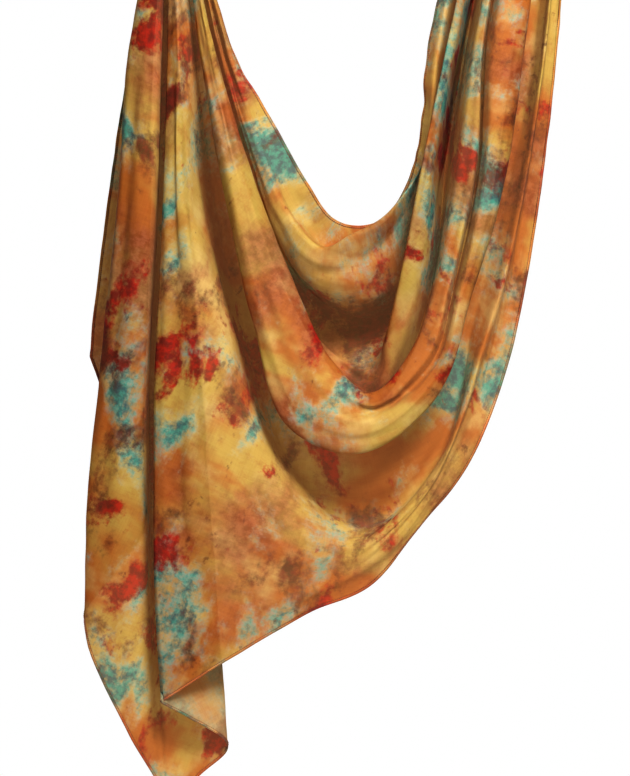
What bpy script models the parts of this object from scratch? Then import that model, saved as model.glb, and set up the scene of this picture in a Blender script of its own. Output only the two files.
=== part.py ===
"""Hijab: a large sheer rectangle of cloth, hung from two holds, with a swag between them.

The cloth is described by its folds. A fold is a line that runs down from a hold: a ridge, a
valley, an edge or a hem. Each row of the tables below is one fold, given at a few stations as
(x, drop, depth) in centimetres: x to the right of the left hold, drop below the holds, and
depth away from the viewer. The surface is lofted through the folds, cut into the stretches
that show, and given its wall. The origin is the left hold; +Z is up and the front faces -Y.
"""
from collections import namedtuple

import bmesh
import bpy
import numpy as np

CM = 0.01

# Walls and seams, in metres.
CLOTH_WALL = 0.0012
HEM_WALL = 0.0014
HEM_WIDTH = 0.004
SEAM_HALF_GAP = 0.0004
HEM_SEAM = HEM_WIDTH + 0.00095
FOLD_EDGE_GAP = 0.0024
HEM_MITRE_GAP = 0.0015
LEAST_SLANT = 0.2
MOST_OF_WAY = 0.8

# How finely the folds are cut: rows between two stations, columns between two folds.
ROWS = 4
COLUMNS = 2

# The holds, in centimetres. A hold gathers the pleats that hang below it.
LEFT_GATHER_WIDTH = 0.40
LEFT_GATHER_DEPTH = 0.62
RIGHT_GATHER_WIDTH = 0.85
RIGHT_GATHER_DEPTH = 0.80
RIGHT_HOLD_X = 51.8
RIGHT_PLEATS_X = 48.6
LAST_STATION = 10

SwagFold = namedtuple(
    "SwagFold",
    "name left_high left_mid left_low turn_left bowl turn_right right_low right_mid right_high",
)

# Swag folds run from the left hold, through the bowl, to the right hold.
SWAG_FOLDS = (
    SwagFold("top edge", (9.4, 20, 1.8), (15.5, 31, 1.8), (20.6, 40, 2.2), (24.4, 45.3, 2.8),
             (28.3, 46.5, 2.8), (32.0, 45.4, 2.6), (35.5, 40.4, 2.0), (37.7, 32.5, 0.8),
             (38.6, 20, 0.2)),
    SwagFold("rim valley", (8.8, 20.5, 0.2), (13.9, 33.6, 1.2), (18.4, 42.8, 2.0), (23.2, 49.4, 2.6),
             (28.2, 51.2, 2.4), (32.4, 48.8, 2.2), (36.1, 42.5, 1.6), (38.8, 33, -1.2),
             (40.2, 20, -1.6)),
    SwagFold("cowl lip", (8.3, 21, 1.0), (13.2, 35.2, 0.2), (17.3, 44.4, -0.6), (22.6, 50.2, -2.8),
             (27.4, 48.0, -4.2), (31.7, 45.7, -4.4), (35.5, 41.4, -2.5), (39.4, 34.2, 2.0),
             (42.0, 20.3, 3.0)),
    SwagFold("soft ridge", (7.8, 21.5, 0.9), (12.5, 37.8, 1.0), (16.6, 48.8, 0.6), (21.4, 54.8, -1.4),
             (27.6, 56.8, -2.4), (33.1, 55.2, 0.7), (37.3, 46.8, 3.8), (40.2, 35.5, 4.8),
             (43.0, 20.6, 4.8)),
    SwagFold("cowl wall", (7.25, 22.2, 2.4), (12.3, 39, 4.4), (17.0, 52, 6.2), (22.4, 59.4, 7.0),
             (28.9, 62.6, 7.6), (34.4, 61, 8.2), (38.6, 50, 7.8), (41.3, 37, 7.4),
             (44.2, 20.9, 6.6)),
    SwagFold("inner pleat", (6.5, 22.4, 4.2), (11.4, 40, 6.6), (16.4, 54, 7.4), (23.2, 64.6, 5.4),
             (31.0, 69.6, -0.8), (32.4, 63.4, -2.6), (35.2, 51.2, -3.8), (38.2, 35.4, -4.0),
             (41.6, 19, -3.4)),
    SwagFold("inner face", (6.3, 22.2, 3.0), (11.3, 39.7, 4.6), (16.8, 54.4, 5.2), (23.4, 65.9, 3.4),
             (31.0, 71.0, -1.2), (34.0, 64.6, -3.0), (37.6, 52.2, -3.4), (39.4, 35.4, -3.6),
             (42.8, 18.8, -3.2)),
    SwagFold("inner valley", (6.1, 22.0, 1.8), (11.1, 39.4, 2.4), (17.0, 54.8, 2.2), (23.4, 67.0, 1.0),
             (30.7, 73.0, -0.8), (36.2, 66.0, 1.0), (39.8, 53.2, 3.6), (41.8, 35.6, 6.2),
             (44.6, 18.6, 5.8)),
    SwagFold("main crest", (7.0, 21.0, -2.4), (12.4, 39, -4.0), (18.3, 54.5, -4.6), (24.4, 67.0, -5.6),
             (30.1, 71.6, -6.0), (36.2, 65.4, -5.2), (39.8, 55.3, -4.4), (43.2, 37.5, -4.4),
             (45.7, 19, -3.9)),
    SwagFold("main lip", (6.7, 21.3, -3.4), (11.7, 39.5, -5.6), (17.3, 55.5, -6.2), (23.9, 69.0, -7.2),
             (30.0, 72.9, -7.4), (38.2, 66.5, -6.8), (41.6, 55.6, -5.8), (45.4, 38, -5.4),
             (46.7, 19, -4.7)),
    SwagFold("lip valley", (6.3, 21.5, -3.7), (10.9, 40.0, -6.1), (16.2, 56.6, -6.7),
             (22.7, 70.4, -7.9), (29.9, 74.3, -7.0), (38.9, 67.5, -5.8), (42.4, 56, -3.6),
             (46.0, 38.6, -2.8), (47.2, 19.3, -2.4)),
    SwagFold("main face", (5.7, 21.7, -3.3), (10.0, 40.5, -6.2), (14.8, 58.0, -6.7),
             (20.8, 72.8, -7.9), (29.5, 76.2, -8.5), (39.6, 69.0, -8.0), (43.4, 56.4, -7.4),
             (46.9, 39.4, -7.0), (48.3, 19.8, -6.6)),
    SwagFold("main edge", (4.8, 22.0, -2.3), (8.2, 41.2, -5.0), (12.6, 61.5, -6.0), (17.6, 76.6, -7.0),
             (28.6, 80.6, -7.9), (39.8, 72.0, -7.2), (45.3, 56.0, -6.5), (49.8, 40.5, -6.4),
             (52.8, 20, -6.0)),
    SwagFold("tuck", (5.0, 22.0, -0.4), (9.2, 41.0, 1.6), (14.0, 60.5, 1.2), (19.2, 74.4, -1.4),
             (29.0, 78.0, -3.0), (38.8, 71.0, -1.0), (44.4, 56, 0.2), (48.6, 41, 0.9),
             (51.6, 20.4, 1.0)),
    SwagFold("apron", (4.0, 22.5, 0.4), (6.8, 42.0, 4.4), (11.4, 63.5, 5.2), (17.8, 81.0, 0.6),
             (29.5, 90.6, 0.4), (41.0, 78.4, 0.4), (46.0, 59, 0.6), (50.4, 42, 0.7), (54.4, 20.5, 1.0)),
    SwagFold("front ridge", (2.7, 22.7, -2.0), (3.4, 42.5, -4.2), (8.3, 62.0, -5.0),
             (15.1, 82.5, -5.2), (26.2, 95.2, -5.6), (38.9, 85.2, -4.3), (47.0, 64.8, -2.6),
             (52.4, 44, -2.2), (56.1, 20.5, -2.0)),
    SwagFold("front face", (1.3, 22.9, -3.5), (1.2, 43.0, -6.0), (3.2, 66.0, -6.6), (7.6, 97.0, -6.2),
             (24.6, 99.0, -5.4), (38.0, 87.9, -4.0), (47.8, 66.8, -0.2), (52.8, 45.3, 0.8),
             (56.4, 20.8, 0.8)),
)

Bend = namedtuple("Bend", "station x drop depth")

# The last swag fold: the front panel's left edge down to its corner, then the lower hem up to
# the right hold. It has more bends than the others, so some fall between two stations.
FRONT_CORNER = 4
FRONT_EDGE = (
    Bend(1, -0.3, 23.0, -2.2),
    Bend(2, -0.9, 43.0, -4.0),
    Bend(3, -2.1, 71.0, -4.6),
    Bend(3.5, -2.3, 95.0, -4.6),
    Bend(FRONT_CORNER, -1.2, 117.8, -4.4),
    Bend(4.5, 10.4, 110.4, -4.8),
    Bend(5, 21.4, 104.1, -4.6),
    Bend(5.5, 29.8, 100.5, -4.2),
    Bend(6, 37.2, 91.8, -3.2),
    Bend(6.5, 44.6, 82.6, -1.4),
    Bend(7, 50.6, 67.8, 0.6),
    Bend(8, 55.1, 45.5, 1.4),
    Bend(9, 58.1, 20.8, 1.8),
)

TailFold = namedtuple("TailFold", "name high mid low knee end")

# Tail folds run from the left hold down to the lower hem and the side hem. They follow the
# front panel's left edge, so their stations are 1, 2, 3, 3.5 and 4.
TAIL_FOLDS = (
    TailFold("back of the front panel", (0.5, 22.6, -0.3), (1.2, 43, 0.3), (1.5, 70, 0.2),
             (1.8, 96, -0.8), (2.8, 120.1, -2.6)),
    TailFold("right turn", (1.2, 22.6, 2.6), (2.6, 43, 5.0), (4.6, 71, 4.6), (6.6, 97, 2.8),
             (8.7, 124.6, -0.6)),
    TailFold("hidden layer", (0.3, 22.6, 3.6), (0.6, 43, 6.4), (1.0, 72, 6.0), (2.6, 99, 4.2),
             (4.5, 129.1, 1.0)),
    TailFold("valley to the corner", (-1.3, 22.6, 2.0), (-1.9, 43, 3.6), (-3.2, 72, 3.2),
             (-2.6, 100, 2.2), (0.0, 133.5, 1.2)),
    TailFold("face's near side", (-1.6, 22.6, -2.4), (-2.3, 43, -3.4), (-3.7, 71, -3.2),
             (-4.0, 97.5, -2.2), (-3.1, 128.0, -0.4)),
    TailFold("left face", (-3.6, 22.6, -2.8), (-4.8, 43, -4.2), (-6.8, 71, -4.0), (-8.0, 95, -3.0),
             (-6.3, 122.4, -1.0)),
    TailFold("left turn", (-6.4, 22.6, -0.6), (-7.9, 43.4, -0.8), (-10.6, 69.5, -0.8),
             (-12.4, 89, -0.6), (-12.9, 106, 0.0)),
    TailFold("return", (-4.6, 22.6, 2.4), (-5.4, 43.4, 4.0), (-7.2, 68, 4.0), (-8.2, 84, 3.6),
             (-8.6, 99, 3.0)),
    TailFold("hidden turn", (-2.8, 22.6, 4.6), (-3.2, 43.4, 7.6), (-4.0, 66, 7.2), (-4.2, 79, 6.4),
             (-4.0, 91.5, 5.2)),
    TailFold("back layer", (-4.6, 22.7, 5.2), (-6.4, 43.2, 8.4), (-8.0, 62, 7.6), (-7.9, 71, 7.2),
             (-7.8, 80, 7.0)),
    TailFold("tail edge", (-6.6, 22.8, 4.2), (-9.8, 42.8, 7.0), (-11.5, 56.5, 6.7), (-12.1, 61.5, 6.5),
             (-12.4, 66.2, 6.2)),
)
TAIL_STATIONS = (1, 2, 3, 3.5, FRONT_CORNER)
TAIL_CORNER_FOLD = 4
TAIL_HIDDEN_TURN_FOLD = 9

# A stretch is one solid: a range of folds and a range of stations of one surface.
Stretch = namedtuple("Stretch", "node first_fold last_fold first_station last_station")

SWAG_STRETCHES = (
    Stretch("roll_left", 0, 3.5, 0, 3),
    Stretch("roll_bowl", 0, 3.5, 3, 7),
    Stretch("roll_right", 0, 3.5, 7, 10),
    Stretch("cowl_left", 3.5, 7.5, 0, 3),
    Stretch("cowl_bowl", 3.5, 7.5, 3, 6),
    Stretch("cowl_right", 3.5, 7.5, 6, 10),
    Stretch("main_left", 7.5, 12.5, 0, 3),
    Stretch("main_bowl", 7.5, 12.5, 3, 7),
    Stretch("main_right", 7.5, 12.5, 7, 10),
    Stretch("apron_left", 12.5, 14.5, 0, 3),
    Stretch("apron_bowl", 12.5, 14.5, 3, 7),
    Stretch("apron_right", 12.5, 14.5, 7, 10),
    Stretch("front_panel", 14.5, 17, 0, 5),
    Stretch("front_right", 14.5, 17, 5, 10),
)
TAIL_STRETCHES = (
    Stretch("tail_return", 0, 1.5, 0, 4),
    Stretch("tail_front", 1.5, 7.5, 0, 4),
    Stretch("tail_back", 7.5, 11, 0, 4),
)

CLOTH_COLOUR = (0.62, 0.36, 0.09, 1.0)
HEM_COLOUR = (0.28, 0.12, 0.04, 1.0)


def smooth_line(points, steps):
    """A line through points with rounded bends, with steps[i] stretches in interval i.

    It is a centripetal Catmull-Rom line, which doesn't overshoot where a short interval
    follows a long one. points may hold many lines side by side: the first axis is the one
    that is followed.
    """
    ends = [2 * points[0] - points[1]], [2 * points[-1] - points[-2]]
    padded = np.concatenate([ends[0], points, ends[1]])
    spans = np.sqrt(np.linalg.norm(np.diff(padded, axis=0), axis=-1, keepdims=True)) + 1e-9
    line = []
    for i, count in enumerate(steps):
        before, start, end, after = padded[i:i + 4]
        span_in, span, span_out = spans[i:i + 3]
        leave = (start - before) / span_in - (end - before) / (span_in + span) + (end - start) / span
        arrive = (end - start) / span - (after - start) / (span + span_out) + (after - end) / span_out
        for step in range(count):
            f = step / count
            line.append((2 * f**3 - 3 * f**2 + 1) * start + (f**3 - 2 * f**2 + f) * span * leave
                        + (3 * f**2 - 2 * f**3) * end + (f**3 - f**2) * span * arrive)
    line.append(points[-1])
    return np.array(line)


def bent_line(points, steps, bend):
    """A smooth line with a sharp corner at the point numbered bend."""
    until = smooth_line(points[:bend + 1], steps[:bend])
    after = smooth_line(points[bend:], steps[bend:])
    return np.concatenate([until, after[1:]])


def left_hold(below):
    """Where a fold starts in the left hold, from its first point below it."""
    x, _, depth = below
    return x * LEFT_GATHER_WIDTH, 0, depth * LEFT_GATHER_DEPTH


def right_hold(below):
    """Where a fold ends in the right hold, from its last point below it."""
    x, _, depth = below
    return RIGHT_HOLD_X + (x - RIGHT_PLEATS_X) * RIGHT_GATHER_WIDTH, 0, depth * RIGHT_GATHER_DEPTH


def rows_between(stations):
    return [int(rows) for rows in np.diff(stations) * ROWS]


def front_edge_line():
    """The swag's last fold, with its sharp corner."""
    points = [tuple(bend)[1:] for bend in FRONT_EDGE]
    points = np.array([left_hold(points[0]), *points, right_hold(points[-1])], dtype=float)
    stations = [0, *(bend.station for bend in FRONT_EDGE), LAST_STATION]
    return bent_line(points, rows_between(stations), stations.index(FRONT_CORNER))


def swag_surface():
    """The swag's points in centimetres, as [column across the folds][row along them]."""
    folds = [(left_hold(fold.left_high), *fold[1:], right_hold(fold.right_high)) for fold in SWAG_FOLDS]
    folds = np.array(folds, dtype=float).swapaxes(0, 1)
    lines = smooth_line(folds, rows_between(range(LAST_STATION + 1))).swapaxes(0, 1)
    return across_folds(np.concatenate([lines, [front_edge_line()]]))


def tail_surface():
    """The tail's points, from the front panel's left edge to the edge that ends the tail."""
    folds = [(left_hold(fold.high), *fold[1:]) for fold in TAIL_FOLDS]
    folds = np.array(folds, dtype=float).swapaxes(0, 1)
    lines = smooth_line(folds, rows_between([0, *TAIL_STATIONS])).swapaxes(0, 1)
    shared_edge = front_edge_line()[:FRONT_CORNER * ROWS + 1]
    return across_folds(np.concatenate([[shared_edge], lines]), TAIL_CORNER_FOLD)


def across_folds(lines, bend=None):
    steps = [COLUMNS] * (len(lines) - 1)
    if bend is None:
        return smooth_line(lines, steps)
    return bent_line(lines, steps, bend)


def to_metres(points):
    """(x, drop, depth) in centimetres to (x, y, z) in metres."""
    x, drop, depth = np.moveaxis(points, -1, 0)
    return np.stack([x, depth, -drop], axis=-1) * CM


def slants(way, line):
    """How squarely each way leaves the line: 1 when square to both of its stretches there."""
    stretch = np.diff(line, axis=0)
    stretch /= np.linalg.norm(stretch, axis=-1, keepdims=True)
    after = np.linalg.norm(np.cross(way[:-1], stretch), axis=-1)
    before = np.linalg.norm(np.cross(way[1:], stretch), axis=-1)
    return np.minimum(np.append(after, 1), np.insert(before, 0, 1))


def pull_in(grid, distance):
    """Draw the grid's first line in towards its second, to lie distance inside where it was.

    Where the way in runs at a slant to the line it is longer, up to MOST_OF_WAY.
    """
    way = grid[1] - grid[0]
    length = np.linalg.norm(way, axis=-1)
    slant = np.maximum(slants(way / length[:, None], grid[0]), LEAST_SLANT)
    share = np.minimum(distance / slant / length, MOST_OF_WAY)
    moved = grid.copy()
    moved[0] = grid[0] + way * share[:, None]
    return moved


def trim(grid, gaps):
    """Draw the four sides in by their gaps: first fold, last fold, first row, last row."""
    grid = pull_in(grid, gaps[0])
    grid = pull_in(grid[::-1], gaps[1])[::-1]
    grid = pull_in(grid.swapaxes(0, 1), gaps[2])
    grid = pull_in(grid[::-1], gaps[3])[::-1].swapaxes(0, 1)
    return grid


def cloth_material(name, colour):
    material = bpy.data.materials.new(name)
    material.diffuse_color = colour
    material.use_nodes = True
    shader = material.node_tree.nodes["Principled BSDF"]
    shader.inputs["Base Color"].default_value = colour
    shader.inputs["Roughness"].default_value = 0.8
    shader.inputs["Metallic"].default_value = 0.0
    return material


def add_wall(name, grid, thickness, colour, collection):
    """A loft over the grid, given its wall by Solidify."""
    mesh = bpy.data.meshes.new(name)
    cloth = bmesh.new()
    verts = [[cloth.verts.new(point) for point in line] for line in grid]
    for line, following in zip(verts, verts[1:]):
        for i in range(len(line) - 1):
            cloth.faces.new((line[i], line[i + 1], following[i + 1], following[i]))
    cloth.to_mesh(mesh)
    cloth.free()
    mesh.shade_smooth()
    mesh.materials.append(cloth_material(name, colour))
    piece = bpy.data.objects.new(name, mesh)
    collection.objects.link(piece)
    wall = piece.modifiers.new("Wall", "SOLIDIFY")
    wall.thickness = thickness
    wall.offset = 0
    return piece


def add_stretches(stretches, surface, collection):
    """One solid for each stretch, clear of its neighbours at the seams."""
    last_fold = len(surface) - 1
    last_row = surface.shape[1] - 1
    for stretch in stretches:
        first = int(stretch.first_fold * COLUMNS)
        last = int(stretch.last_fold * COLUMNS)
        top = stretch.first_station * ROWS
        bottom = stretch.last_station * ROWS
        at_seam = (first > 0, last < last_fold, top > 0, bottom < last_row)
        grid = trim(surface[first:last + 1, top:bottom + 1], [seam * SEAM_HALF_GAP for seam in at_seam])
        add_wall(stretch.node, grid, CLOTH_WALL, CLOTH_COLOUR, collection)


def add_hem(name, grid, start_gap, end_gap, collection):
    """A hem along the grid's first line, HEM_WIDTH wide on the cloth's own surface."""
    hem = np.stack([grid[0], pull_in(grid[:2], HEM_WIDTH)[0]])
    add_wall(name, trim(hem, (0, 0, start_gap, end_gap)), HEM_WALL, HEM_COLOUR, collection)


def build():
    for piece in list(bpy.data.objects):
        bpy.data.objects.remove(piece)
    collection = bpy.data.collections.new("hijab")
    bpy.context.scene.collection.children.link(collection)

    swag = to_metres(swag_surface())
    corner_row = FRONT_CORNER * ROWS
    beyond_corner = np.arange(swag.shape[1]) >= corner_row
    swag_sides = (HEM_SEAM, np.where(beyond_corner, HEM_SEAM, FOLD_EDGE_GAP), 0, 0)
    add_stretches(SWAG_STRETCHES, trim(swag, swag_sides), collection)
    add_hem("hem_top", swag, 0, 0, collection)
    add_hem("hem_bottom", swag[::-1, corner_row:], FOLD_EDGE_GAP, 0, collection)

    tail = to_metres(tail_surface())
    tail_sides = (FOLD_EDGE_GAP, HEM_SEAM, 0, HEM_SEAM)
    add_stretches(TAIL_STRETCHES, trim(tail, tail_sides), collection)
    tail_end = tail.swapaxes(0, 1)[::-1]
    corner_column = TAIL_CORNER_FOLD * COLUMNS
    add_hem("hem_tail_bottom", tail_end[:, :corner_column + 1], FOLD_EDGE_GAP, HEM_MITRE_GAP, collection)
    turn_column = TAIL_HIDDEN_TURN_FOLD * COLUMNS
    side_columns = tail_end[:, corner_column:turn_column + 1]
    add_hem("hem_tail_side", side_columns, HEM_MITRE_GAP, HEM_MITRE_GAP, collection)
    add_hem("hem_tail_back", tail_end[:, turn_column:], HEM_MITRE_GAP, 0, collection)
    add_hem("hem_tail_top", tail[::-1], 0, HEM_SEAM, collection)


build()
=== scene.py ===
"""Looks of the hijab: one semi-sheer printed cloth with its turned hem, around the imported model.

The cloth repeats the fold tables of the part's source, in centimetres: x to the right of the
left hold, drop below the holds, and depth away from the viewer. It is lofted more finely,
given its smaller creases, and printed in its own flat measure by procedural nodes.
"""
import math
from collections import namedtuple

import bpy
import mathutils
import numpy as np
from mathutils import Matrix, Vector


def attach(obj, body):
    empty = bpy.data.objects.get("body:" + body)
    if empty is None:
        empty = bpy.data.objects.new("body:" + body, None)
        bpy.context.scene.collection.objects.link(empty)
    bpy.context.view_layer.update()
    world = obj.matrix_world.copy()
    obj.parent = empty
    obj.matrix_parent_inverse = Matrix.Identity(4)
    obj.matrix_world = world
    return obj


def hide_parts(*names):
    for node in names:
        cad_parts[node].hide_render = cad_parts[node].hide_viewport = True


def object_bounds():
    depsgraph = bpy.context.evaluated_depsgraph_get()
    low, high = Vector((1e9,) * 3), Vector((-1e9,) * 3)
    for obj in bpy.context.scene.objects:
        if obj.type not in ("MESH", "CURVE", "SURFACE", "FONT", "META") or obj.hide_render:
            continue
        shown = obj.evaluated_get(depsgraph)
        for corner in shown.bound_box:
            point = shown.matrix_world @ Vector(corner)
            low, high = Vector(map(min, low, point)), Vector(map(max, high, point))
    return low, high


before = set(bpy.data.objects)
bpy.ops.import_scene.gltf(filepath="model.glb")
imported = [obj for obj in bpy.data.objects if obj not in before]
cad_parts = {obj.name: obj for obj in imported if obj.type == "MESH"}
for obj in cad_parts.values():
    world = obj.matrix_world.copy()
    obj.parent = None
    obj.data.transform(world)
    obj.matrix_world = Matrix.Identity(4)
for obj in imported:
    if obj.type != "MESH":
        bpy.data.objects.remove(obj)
cad_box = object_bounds()

CM = 0.01
MM = 0.001

# How finely the folds are cut: rows between two stations, columns between two folds.
ROWS = 28
COLUMNS = 12
FLAT_ROWS = 7
FLAT_COLUMNS = 3

# The holds, in centimetres. A hold gathers the pleats that hang below it.
LEFT_GATHER_WIDTH = 0.40
LEFT_GATHER_DEPTH = 0.62
RIGHT_GATHER_WIDTH = 0.85
RIGHT_GATHER_DEPTH = 0.80
RIGHT_HOLD_X = 51.8
RIGHT_PLEATS_X = 48.6
LAST_STATION = 10

SwagFold = namedtuple(
    "SwagFold",
    "name left_high left_mid left_low turn_left bowl turn_right right_low right_mid right_high",
)

# Swag folds run from the left hold, through the bowl, to the right hold. Each place is (x, drop,
# depth), and a fold's places are its stations 1 to 9.
SWAG_FOLDS = (
    SwagFold("top edge", (9.4, 20, 1.8), (15.5, 31, 1.8), (20.6, 40, 2.2), (24.4, 45.3, 2.8),
             (28.3, 46.5, 2.8), (32.0, 45.4, 2.6), (35.5, 40.4, 2.0), (37.7, 32.5, 0.8),
             (38.6, 20, 0.2)),
    SwagFold("rim valley", (8.8, 20.5, 0.2), (13.9, 33.6, 1.2), (18.4, 42.8, 2.0), (23.2, 49.4, 2.6),
             (28.2, 51.2, 2.4), (32.4, 48.8, 2.2), (36.1, 42.5, 1.6), (38.8, 33, -1.2),
             (40.2, 20, -1.6)),
    SwagFold("cowl lip", (8.3, 21, 1.0), (13.2, 35.2, 0.2), (17.3, 44.4, -0.6), (22.6, 50.2, -2.8),
             (27.4, 48.0, -4.2), (31.7, 45.7, -4.4), (35.5, 41.4, -2.5), (39.4, 34.2, 2.0),
             (42.0, 20.3, 3.0)),
    SwagFold("soft ridge", (7.8, 21.5, 0.9), (12.5, 37.8, 1.0), (16.6, 48.8, 0.6), (21.4, 54.8, -1.4),
             (27.6, 56.8, -2.4), (33.1, 55.2, 0.7), (37.3, 46.8, 3.8), (40.2, 35.5, 4.8),
             (43.0, 20.6, 4.8)),
    SwagFold("cowl wall", (7.25, 22.2, 2.4), (12.3, 39, 4.4), (17.0, 52, 6.2), (22.4, 59.4, 7.0),
             (28.9, 62.6, 7.6), (34.4, 61, 8.2), (38.6, 50, 7.8), (41.3, 37, 7.4),
             (44.2, 20.9, 6.6)),
    SwagFold("inner pleat", (6.5, 22.4, 4.2), (11.4, 40, 6.6), (16.4, 54, 7.4), (23.2, 64.6, 5.4),
             (31.0, 69.6, -0.8), (32.4, 63.4, -2.6), (35.2, 51.2, -3.8), (38.2, 35.4, -4.0),
             (41.6, 19, -3.4)),
    SwagFold("inner face", (6.3, 22.2, 3.0), (11.3, 39.7, 4.6), (16.8, 54.4, 5.2), (23.4, 65.9, 3.4),
             (31.0, 71.0, -1.2), (34.0, 64.6, -3.0), (37.6, 52.2, -3.4), (39.4, 35.4, -3.6),
             (42.8, 18.8, -3.2)),
    SwagFold("inner valley", (6.1, 22.0, 1.8), (11.1, 39.4, 2.4), (17.0, 54.8, 2.2), (23.4, 67.0, 1.0),
             (30.7, 73.0, -0.8), (36.2, 66.0, 1.0), (39.8, 53.2, 3.6), (41.8, 35.6, 6.2),
             (44.6, 18.6, 5.8)),
    SwagFold("main crest", (7.0, 21.0, -2.4), (12.4, 39, -4.0), (18.3, 54.5, -4.6), (24.4, 67.0, -5.6),
             (30.1, 71.6, -6.0), (36.2, 65.4, -5.2), (39.8, 55.3, -4.4), (43.2, 37.5, -4.4),
             (45.7, 19, -3.9)),
    SwagFold("main lip", (6.7, 21.3, -3.4), (11.7, 39.5, -5.6), (17.3, 55.5, -6.2), (23.9, 69.0, -7.2),
             (30.0, 72.9, -7.4), (38.2, 66.5, -6.8), (41.6, 55.6, -5.8), (45.4, 38, -5.4),
             (46.7, 19, -4.7)),
    SwagFold("lip valley", (6.3, 21.5, -3.7), (10.9, 40.0, -6.1), (16.2, 56.6, -6.7),
             (22.7, 70.4, -7.9), (29.9, 74.3, -7.0), (38.9, 67.5, -5.8), (42.4, 56, -3.6),
             (46.0, 38.6, -2.8), (47.2, 19.3, -2.4)),
    SwagFold("main face", (5.7, 21.7, -3.3), (10.0, 40.5, -6.2), (14.8, 58.0, -6.7),
             (20.8, 72.8, -7.9), (29.5, 76.2, -8.5), (39.6, 69.0, -8.0), (43.4, 56.4, -7.4),
             (46.9, 39.4, -7.0), (48.3, 19.8, -6.6)),
    SwagFold("main edge", (4.8, 22.0, -2.3), (8.2, 41.2, -5.0), (12.6, 61.5, -6.0), (17.6, 76.6, -7.0),
             (28.6, 80.6, -7.9), (39.8, 72.0, -7.2), (45.3, 56.0, -6.5), (49.8, 40.5, -6.4),
             (52.8, 20, -6.0)),
    SwagFold("tuck", (5.0, 22.0, -0.4), (9.2, 41.0, 1.6), (14.0, 60.5, 1.2), (19.2, 74.4, -1.4),
             (29.0, 78.0, -3.0), (38.8, 71.0, -1.0), (44.4, 56, 0.2), (48.6, 41, 0.9),
             (51.6, 20.4, 1.0)),
    SwagFold("apron", (4.0, 22.5, 0.4), (6.8, 42.0, 4.4), (11.4, 63.5, 5.2), (17.8, 81.0, 0.6),
             (29.5, 90.6, 0.4), (41.0, 78.4, 0.4), (46.0, 59, 0.6), (50.4, 42, 0.7), (54.4, 20.5, 1.0)),
    SwagFold("front ridge", (2.7, 22.7, -2.0), (3.4, 42.5, -4.2), (8.3, 62.0, -5.0),
             (15.1, 82.5, -5.2), (26.2, 95.2, -5.6), (38.9, 85.2, -4.3), (47.0, 64.8, -2.6),
             (52.4, 44, -2.2), (56.1, 20.5, -2.0)),
    SwagFold("front face", (1.3, 22.9, -3.5), (1.2, 43.0, -6.0), (3.2, 66.0, -6.6), (7.6, 97.0, -6.2),
             (24.6, 99.0, -5.4), (38.0, 87.9, -4.0), (47.8, 66.8, -0.2), (52.8, 45.3, 0.8),
             (56.4, 20.8, 0.8)),
)

Bend = namedtuple("Bend", "station x drop depth")

# The last swag fold: the front panel's left edge down to its corner, then the lower hem up to
# the right hold. It has more bends than the others, so some fall between two stations.
FRONT_CORNER = 4
FRONT_EDGE = (
    Bend(1, -0.3, 23.0, -2.2),
    Bend(2, -0.9, 43.0, -4.0),
    Bend(3, -2.1, 71.0, -4.6),
    Bend(3.5, -2.3, 95.0, -4.6),
    Bend(FRONT_CORNER, -1.2, 117.8, -4.4),
    Bend(4.5, 10.4, 110.4, -4.8),
    Bend(5, 21.4, 104.1, -4.6),
    Bend(5.5, 29.8, 100.5, -4.2),
    Bend(6, 37.2, 91.8, -3.2),
    Bend(6.5, 44.6, 82.6, -1.4),
    Bend(7, 50.6, 67.8, 0.6),
    Bend(8, 55.1, 45.5, 1.4),
    Bend(9, 58.1, 20.8, 1.8),
)

TailFold = namedtuple("TailFold", "name high mid low knee end")

# Tail folds run from the left hold down to the lower hem and the side hem. They follow the
# front panel's left edge, so their stations are 1, 2, 3, 3.5 and 4.
TAIL_FOLDS = (
    TailFold("back of the front panel", (0.5, 22.6, -0.3), (1.2, 43, 0.3), (1.5, 70, 0.2),
             (1.8, 96, -0.8), (2.8, 120.1, -2.6)),
    TailFold("right turn", (1.2, 22.6, 2.6), (2.6, 43, 5.0), (4.6, 71, 4.6), (6.6, 97, 2.8),
             (8.7, 124.6, -0.6)),
    TailFold("hidden layer", (0.3, 22.6, 3.6), (0.6, 43, 6.4), (1.0, 72, 6.0), (2.6, 99, 4.2),
             (4.5, 129.1, 1.0)),
    TailFold("valley to the corner", (-1.3, 22.6, 2.0), (-1.9, 43, 3.6), (-3.2, 72, 3.2),
             (-2.6, 100, 2.2), (0.0, 133.5, 1.2)),
    TailFold("face's near side", (-1.6, 22.6, -2.4), (-2.3, 43, -3.4), (-3.7, 71, -3.2),
             (-4.0, 97.5, -2.2), (-3.1, 128.0, -0.4)),
    TailFold("left face", (-3.6, 22.6, -2.8), (-4.8, 43, -4.2), (-6.8, 71, -4.0), (-8.0, 95, -3.0),
             (-6.3, 122.4, -1.0)),
    TailFold("left turn", (-6.4, 22.6, -0.6), (-7.9, 43.4, -0.8), (-10.6, 69.5, -0.8),
             (-12.4, 89, -0.6), (-12.9, 106, 0.0)),
    TailFold("return", (-4.6, 22.6, 2.4), (-5.4, 43.4, 4.0), (-7.2, 68, 4.0), (-8.2, 84, 3.6),
             (-8.6, 99, 3.0)),
    TailFold("hidden turn", (-2.8, 22.6, 4.6), (-3.2, 43.4, 7.6), (-4.0, 66, 7.2), (-4.2, 79, 6.4),
             (-4.0, 91.5, 5.2)),
    TailFold("back layer", (-4.6, 22.7, 5.2), (-6.4, 43.2, 8.4), (-8.0, 62, 7.6), (-7.9, 71, 7.2),
             (-7.8, 80, 7.0)),
    TailFold("tail edge", (-6.6, 22.8, 4.2), (-9.8, 42.8, 7.0), (-11.5, 56.5, 6.7), (-12.1, 61.5, 6.5),
             (-12.4, 66.2, 6.2)),
)
TAIL_STATIONS = (1, 2, 3, 3.5, FRONT_CORNER)
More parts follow.
